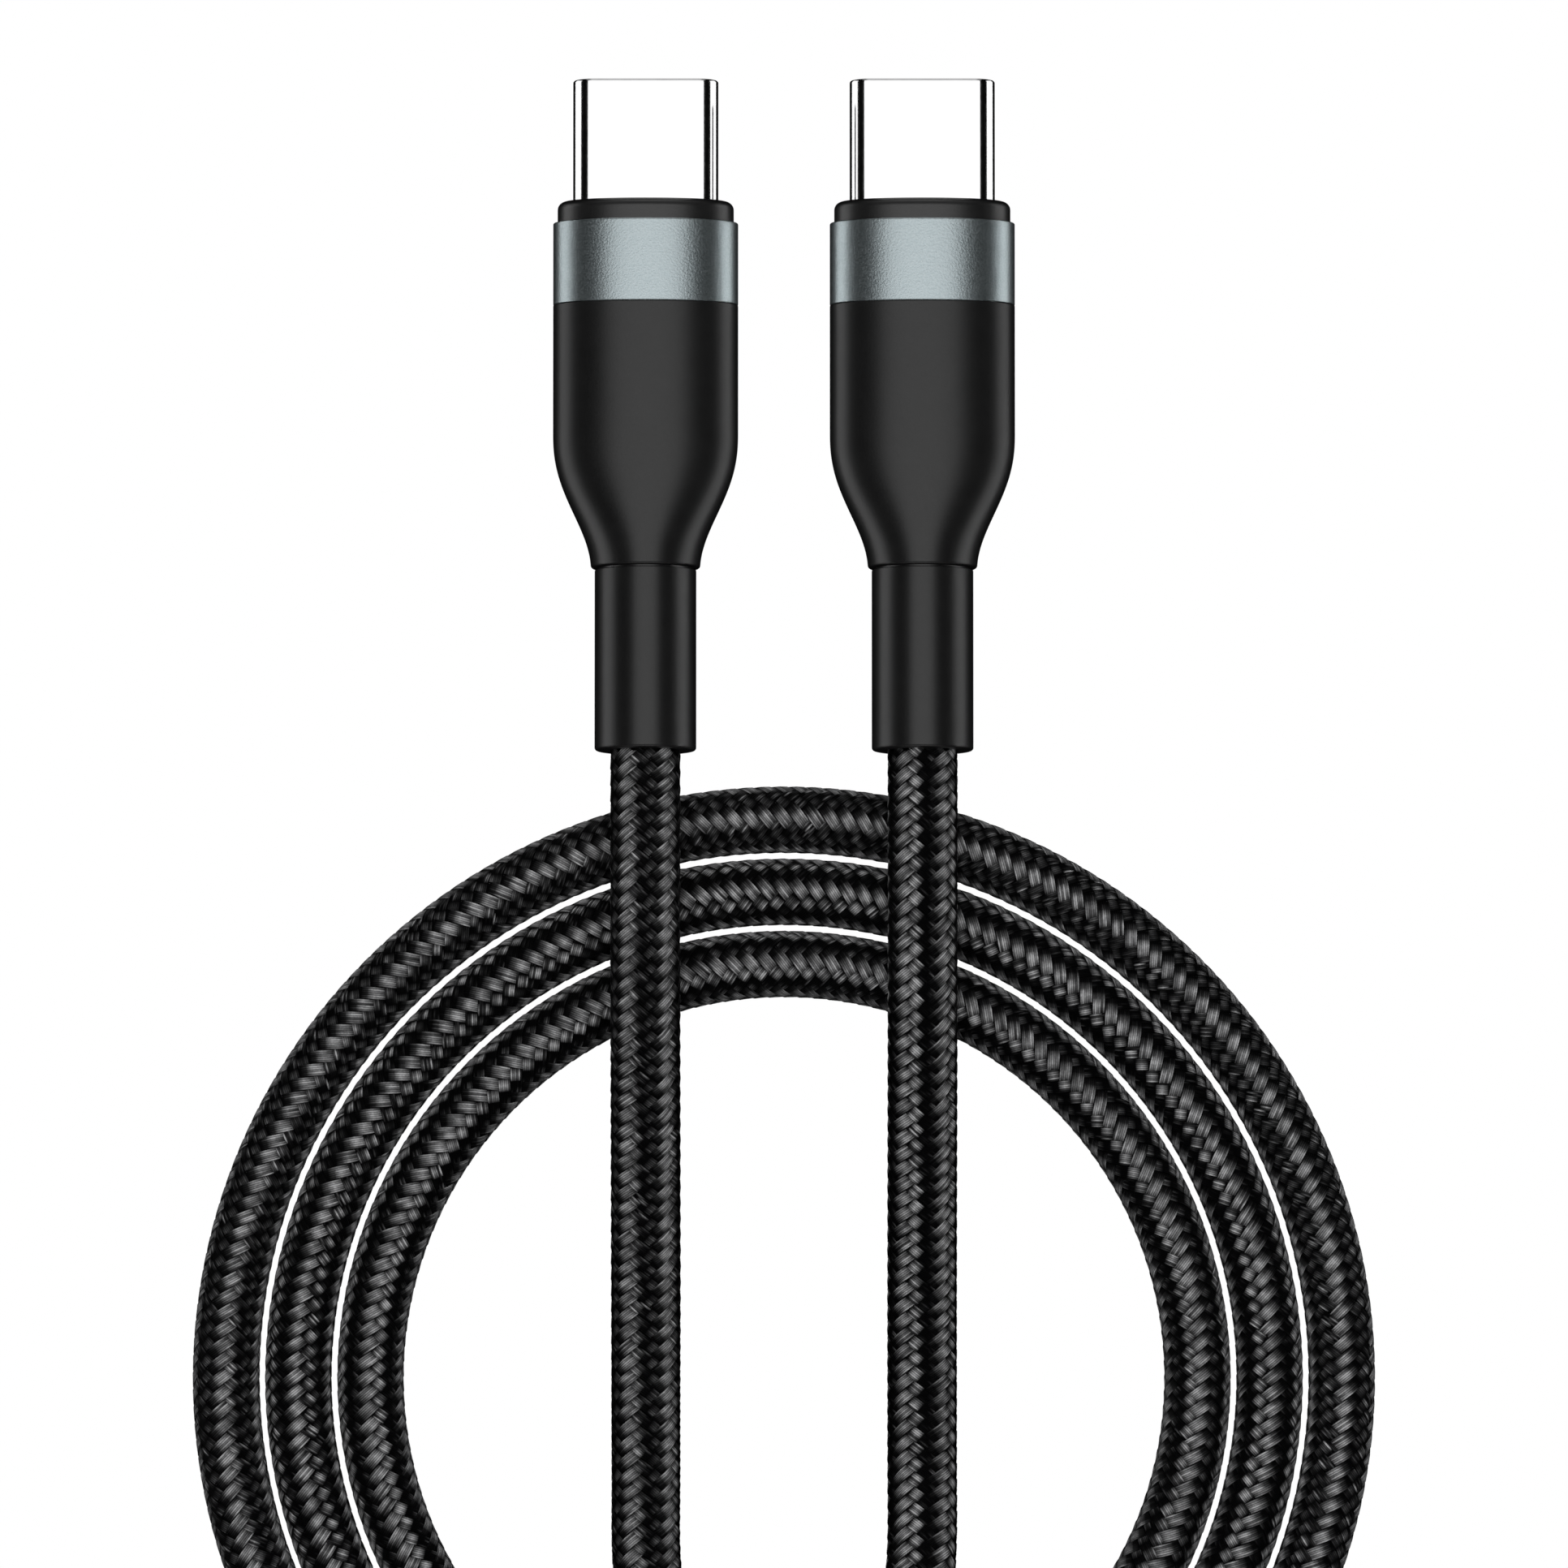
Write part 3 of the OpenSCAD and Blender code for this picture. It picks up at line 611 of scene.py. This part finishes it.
def add_relief(side):
    """The soft sleeve round the cord, from the seam to its round end."""
    high = plug_box(side, "strain_relief")[1]
    start = plug_box(side, "housing")[1][1] + SEAM_BACK
    gap = 0.00003
    radius, end = high[0], high[1] + SLEEVE_BACK
    bore = radius - (CORD_D / 2 + gap)
    edge = 0.00018
    shoulder = 0.00005
    inside = start - 0.0009
    bevel = 0.0001

    def outline(inset, s):
        return oval_outline(radius - inset, radius - inset, 2)

    path = (
        [(SEAM_DEEP, inside), (SEAM_DEEP, start - 0.00001)] + rounded(0, start, shoulder, False, 4)
        + [(0, s) for s in np.linspace(start + 0.0003, end - 0.0006, 6)] + rounded(0, end, edge, True, 9)
        + [(bore - bevel, end), (bore, end - bevel), (bore, inside)]
    )
    obj = sleeve(side + "_sleeve", side, outline, path)
    return finish_piece(obj, side, "strain_relief")


# ---- Materials ----


def new_material(name, **values):
    """A Principled material with plain values on its own sockets."""
    mat = bpy.data.materials.new(name)
    mat.use_nodes = True
    shader = mat.node_tree.nodes["Principled BSDF"]
    for key, value in values.items():
        shader.inputs[key.replace("_", " ")].default_value = value
    return mat, mat.node_tree, shader


# Most of a noise's values lie between these
NOISE_LOW = 0.3
NOISE_HIGH = 0.7


def add_noise(tree, scale, detail):
    """Noise in the object's own metres. scale is the number of features in a metre."""
    coords = tree.nodes.new("ShaderNodeTexCoord")
    noise = tree.nodes.new("ShaderNodeTexNoise")
    noise.inputs["Scale"].default_value = scale
    noise.inputs["Detail"].default_value = detail
    tree.links.new(coords.outputs["Object"], noise.inputs["Vector"])
    return noise.outputs["Fac"]


def ramp_colour(tree, fac, dark, light, low=0.35, high=0.65):
    """A colour between dark and light, as fac goes from low to high."""
    ramp = tree.nodes.new("ShaderNodeValToRGB")
    ramp.color_ramp.elements[0].position = low
    ramp.color_ramp.elements[0].color = (*dark, 1)
    ramp.color_ramp.elements[1].position = high
    ramp.color_ramp.elements[1].color = (*light, 1)
    tree.links.new(fac, ramp.inputs["Fac"])
    return ramp.outputs["Color"]


def ramp_value(tree, fac, low, high):
    """A value between low and high, from a noise."""
    span = tree.nodes.new("ShaderNodeMapRange")
    span.inputs["From Min"].default_value = NOISE_LOW
    span.inputs["From Max"].default_value = NOISE_HIGH
    span.inputs["To Min"].default_value = low
    span.inputs["To Max"].default_value = high
    tree.links.new(fac, span.inputs["Value"])
    return span.outputs["Result"]


def add_bump(tree, shader, fac, strength, distance):
    """A fine relief on a shader's own normal."""
    bump = tree.nodes.new("ShaderNodeBump")
    bump.inputs["Strength"].default_value = strength
    bump.inputs["Distance"].default_value = distance
    tree.links.new(fac, bump.inputs["Height"])
    tree.links.new(bump.outputs["Normal"], shader.inputs["Normal"])


def textured(name, dark, light, rough, grain, bump, colour_scale=900.0, **values):
    """A finish with uneven colour, uneven gloss and a fine grain.

    rough is the least and the most roughness, grain the number of grains in a metre, and bump a strength
    and a height in metres. colour_scale is the number of patches of colour in a metre.
    """
    mat, tree, shader = new_material(name, **values)
    colour = ramp_colour(tree, add_noise(tree, colour_scale, 3), dark, light)
    tree.links.new(colour, shader.inputs["Base Color"])
    fine = add_noise(tree, grain, 2)
    tree.links.new(ramp_value(tree, fine, *rough), shader.inputs["Roughness"])
    add_bump(tree, shader, fine, bump[0], bump[1])
    return mat


def make_materials():
    """Every material, by its slot."""
    made = {}
    made["shell"] = textured(
        "polished_shell", (0.90, 0.90, 0.905), (0.93, 0.93, 0.935), (0.11, 0.13), 2500.0, (0.01, 0.000005),
        Metallic=1.0)
    made["collar"] = textured(
        "collar_plastic", (0.007, 0.007, 0.0072), (0.01, 0.01, 0.0102), (0.31, 0.37), 12000.0,
        (0.25, 0.00001), IOR=1.6)
    made["housing"] = textured(
        "matte_plastic", (0.006, 0.006, 0.0062), (0.008, 0.008, 0.0082), (0.31, 0.37), 12000.0,
        (0.25, 0.00001))
    made["relief"] = textured(
        "soft_sleeve", (0.006, 0.006, 0.0062), (0.008, 0.008, 0.0082), (0.31, 0.37), 11000.0,
        (0.25, 0.00001))
    made["ring"] = textured(
        "anodised_ring", (0.345, 0.40, 0.415), (0.42, 0.475, 0.49), (0.30, 0.36), 9000.0, (0.7, 0.000015),
        9000.0, Metallic=1.0)
    made["jacket"] = textured(
        "cord_jacket", (0.004, 0.004, 0.004), (0.007, 0.007, 0.007), (0.5, 0.6), 4000.0, (0.2, 0.00001))
    made["woven"] = yarn_with_painted_sheen()
    made["carrier"] = textured(
        "carrier_plastic", (0.02, 0.02, 0.021), (0.03, 0.03, 0.031), (0.4, 0.5), 9000.0, (0.2, 0.00001))
    made["contacts"] = textured(
        "gold_plate", (0.83, 0.60, 0.22), (0.90, 0.68, 0.29), (0.16, 0.26), 6000.0, (0.1, 0.00001),
        Metallic=1.0)
    made["spring_steel"] = textured(
        "spring_steel", (0.62, 0.62, 0.61), (0.72, 0.72, 0.71), (0.2, 0.32), 7000.0, (0.15, 0.00001),
        Metallic=1.0)
    made["board"] = textured(
        "board_green", (0.008, 0.07, 0.025), (0.015, 0.12, 0.045), (0.25, 0.4), 3000.0, (0.2, 0.00002))
    made["chip"] = textured(
        "chip_mould", (0.015, 0.015, 0.016), (0.03, 0.03, 0.031), (0.5, 0.65), 9000.0, (0.3, 0.00001))
    made["capacitor"] = textured(
        "capacitor_body", (0.40, 0.27, 0.16), (0.50, 0.36, 0.23), (0.35, 0.5), 9000.0, (0.2, 0.00001))
    made["solder"] = textured(
        "solder", (0.62, 0.63, 0.64), (0.78, 0.79, 0.80), (0.2, 0.4), 4000.0, (0.3, 0.00002), Metallic=1.0)
    made["can"] = textured(
        "tinned_can", (0.58, 0.58, 0.57), (0.70, 0.70, 0.69), (0.25, 0.4), 5000.0, (0.2, 0.00001),
        Metallic=1.0)
    made["mould"] = textured(
        "inner_mould", (0.74, 0.74, 0.71), (0.82, 0.82, 0.79), (0.5, 0.62), 4000.0, (0.2, 0.00002))
    made["ferrule"] = textured(
        "crimp_metal", (0.60, 0.59, 0.56), (0.72, 0.71, 0.68), (0.3, 0.45), 4000.0, (0.3, 0.00001),
        Metallic=1.0)
    for slot, dark, light in (
        ("red_wire", (0.45, 0.015, 0.012), (0.55, 0.025, 0.02)),
        ("black_wire", (0.012, 0.012, 0.012), (0.02, 0.02, 0.02)),
        ("signal_wire", (0.03, 0.14, 0.36), (0.05, 0.2, 0.46)),
    ):
        made[slot] = textured(slot, dark, light, (0.25, 0.38), 5000.0, (0.15, 0.00001))
    return made


def yarn_with_painted_sheen():
    """Black filaments with a painted sheen: a highlight painted into the base colour, lighter grey on part of
    each float. It is worked out with the weave, as a value on each point of a ribbon.

    A cord that has none of these values, inside a plug, is plain black.
    """
    mat, tree, shader = new_material("black_filament_painted_sheen", Roughness=0.4, IOR=1.45, Specular_IOR_Level=0.07)
    painted_sheen = tree.nodes.new("ShaderNodeAttribute")
    painted_sheen.attribute_name = "painted_sheen"
    noise = ramp_value(tree, add_noise(tree, 9000.0, 2), 0.6, 1.0)
    uneven = tree.nodes.new("ShaderNodeMath")
    uneven.operation = "MULTIPLY"
    tree.links.new(painted_sheen.outputs["Fac"], uneven.inputs[0])
    tree.links.new(noise, uneven.inputs[1])
    # The filaments' own black, and the grey of the highlight painted over it
    black = (0.0012, 0.0012, 0.0013)
    painted_highlight_grey = (0.345, 0.345, 0.35)
    colour = ramp_colour(tree, uneven.outputs[0], black, painted_highlight_grey, 0.0, 1.0)
    tree.links.new(colour, shader.inputs["Base Color"])
    return mat


MATERIALS = make_materials()


def paint(obj, slot):
    """Give a piece its only material."""
    obj.data.materials.clear()
    obj.data.materials.append(MATERIALS[slot])


paint(core, "jacket")
for piece in ribbons:
    paint(piece, "woven")
# The plugs' skins don't show in each other's reflections
SKINS = []
for side in SIDES:
    for make, slot in (
        (add_shell, "shell"), (add_collar, "collar"), (add_ring, "ring"), (add_housing, "housing"),
        (add_relief, "relief"),
    ):
        skin = make(side)
        skin.visible_glossy = False
        paint(skin, slot)
        SKINS.append(skin)

NODE_SLOTS = {
    "contact_carrier": "carrier", "rear_carrier": "carrier", "upper_contacts": "contacts",
    "lower_contacts": "contacts", "upper_ground_spring": "spring_steel",
    "lower_ground_spring": "spring_steel", "latch_plate": "spring_steel", "latch_arm_outer": "spring_steel",
    "latch_arm_inner": "spring_steel", "circuit_board": "board", "marker_chip": "chip",
    "capacitors": "capacitor", "solder_joints": "solder",
    "upper_shield_can": "can", "lower_shield_can": "can", "inner_mould": "mould", "crimp_ferrule": "ferrule",
    "shield_braid": "ferrule", "cord_jacket": "jacket", "woven_cover": "woven", "power_wire": "red_wire",
    "ground_wire": "black_wire", "signal_wires": "signal_wire",
}
for side in SIDES:
    for node, slot in NODE_SLOTS.items():
        paint(frame["nodes"][side + "_" + node], slot)


# ---- The studio: a white floor, a soft light above and soft lights round the horizon ----

FLOOR_SIZE = 6.0
FLOOR_DROP = 0.00002
LIGHT_FAR = 0.5


def add_floor():
    """A white floor that the camera sees and that lights nothing."""
    mat = bpy.data.materials.new("floor_white")
    mat.use_nodes = True
    tree = mat.node_tree
    tree.nodes.clear()
    emission = tree.nodes.new("ShaderNodeEmission")
    emission.inputs["Color"].default_value = (1, 1, 1, 1)
    out = tree.nodes.new("ShaderNodeOutputMaterial")
    tree.links.new(emission.outputs["Emission"], out.inputs["Surface"])
    mat.cycles.emission_sampling = "NONE"
    half = FLOOR_SIZE / 2
    z = min(0.0, cad_low.z) - FLOOR_DROP
    corners = np.array([(-half, -half, z), (half, -half, z), (half, half, z), (-half, half, z)])
    floor = new_mesh("floor", corners, [np.array([[0, 1, 2, 3]])], smooth=False)
    floor.data.materials.append(mat)
    floor.visible_diffuse = False
    floor.visible_glossy = False
    floor.visible_transmission = False
    floor.visible_shadow = False


def group(name, objects):
    """A collection for a light to point at, which isn't part of the scene."""
    made = bpy.data.collections.new(name)
    for obj in objects:
        made.objects.link(obj)
    return made


def add_light(name, lit, azimuth, polar, wide, high, radiance, blockers=None, glossy=True, both_ways=True):
    """A soft panel LIGHT_FAR away that lights one group.

    azimuth is from +X, polar is from straight up, and both sizes are in degrees. blockers are all that can
    shade it. Without glossy it doesn't show in reflections. both_ways is for sharp reflections: then the
    panel is looked for along reflected rays too.
    """
    a, p = math.radians(azimuth), math.radians(polar)
    out = Vector((math.sin(p) * math.cos(a), math.sin(p) * math.sin(a), math.cos(p)))
    data = bpy.data.lights.new(name, "AREA")
    data.shape = "RECTANGLE"
    data.size = 2 * LIGHT_FAR * math.tan(math.radians(wide / 2))
    data.size_y = 2 * LIGHT_FAR * math.tan(math.radians(high / 2))
    data.energy = radiance * math.pi * data.size * data.size_y
    light = bpy.data.objects.new(name, data)
    middle = Vector((0, bpy.context.scene.camera.location.y, 0))
    light.location = middle + LIGHT_FAR * out
    light.rotation_mode = "QUATERNION"
    light.rotation_quaternion = (-out).to_track_quat("-Z", "Y")
    light.visible_camera = False
    light.visible_glossy = glossy
    data.cycles.use_multiple_importance_sampling = both_ways
    light.light_linking.receiver_collection = lit
    if blockers:
        light.light_linking.blocker_collection = blockers
    bpy.context.scene.collection.objects.link(light)


def add_lights():
    """Panels above, at both sides, in front, behind and low round the horizon."""
    cord = group("lit_cord", [core, *ribbons])
    shells = group("lit_shells", [o for o in SKINS if o.name.endswith("shell")])
    covers = group("lit_covers", [o for o in SKINS if not o.name.endswith("shell")])
    inside = group("lit_inside", [*frame["nodes"].values()])
    everything = group("lit_low", [core, *ribbons, *SKINS, *frame["nodes"].values()])
    nothing = group("blocks_nothing", [bpy.data.objects["floor"]])
    add_light("cover_top", covers, azimuth=0, polar=0, wide=53, high=53, radiance=1.52)
    add_light("shell_top", shells, azimuth=0, polar=0, wide=72, high=72, radiance=1.15)
    for name, azimuth in (("right", 0), ("left", 180)):
        add_light(
            "cover_" + name, covers, azimuth, polar=94, wide=70, high=34, radiance=1.34,
            blockers=nothing, both_ways=False)
        add_light(
            "shell_" + name, shells, azimuth, polar=101, wide=70, high=47, radiance=1.2, blockers=nothing)
    add_light("cord_fill", cord, azimuth=90, polar=6, wide=60, high=60, radiance=3.0, glossy=False)
    add_light("cord_top", cord, azimuth=90, polar=24, wide=16, high=16, radiance=2.6)
    add_light("inside_top", inside, azimuth=90, polar=30, wide=60, high=60, radiance=1.5)
    for name, azimuth in (("front", 90), ("back", 270)):
        add_light("cover_" + name, covers, azimuth, polar=62, wide=60, high=50, radiance=0.3)
        add_light("shell_" + name, shells, azimuth, polar=62, wide=60, high=50, radiance=0.45)
        add_light("inside_" + name, inside, azimuth, polar=75, wide=40, high=40, radiance=1.5)
    for azimuth in range(0, 360, 90):
        lit = cord if azimuth in (0, 180) else everything
        add_light("low_%d" % azimuth, lit, azimuth, polar=80, wide=26, high=24, radiance=1.0)


def add_world():
    """A white background that lights nothing."""
    world = bpy.data.worlds.new("World")
    bpy.context.scene.world = world
    world.use_nodes = True
    world.node_tree.nodes["Background"].inputs["Color"].default_value = (1, 1, 1, 1)
    for ray in ("diffuse", "glossy", "transmission", "scatter"):
        setattr(world.cycles_visibility, ray, False)


add_floor()
add_lights()
add_world()
bpy.context.scene.view_settings.view_transform = "Standard"
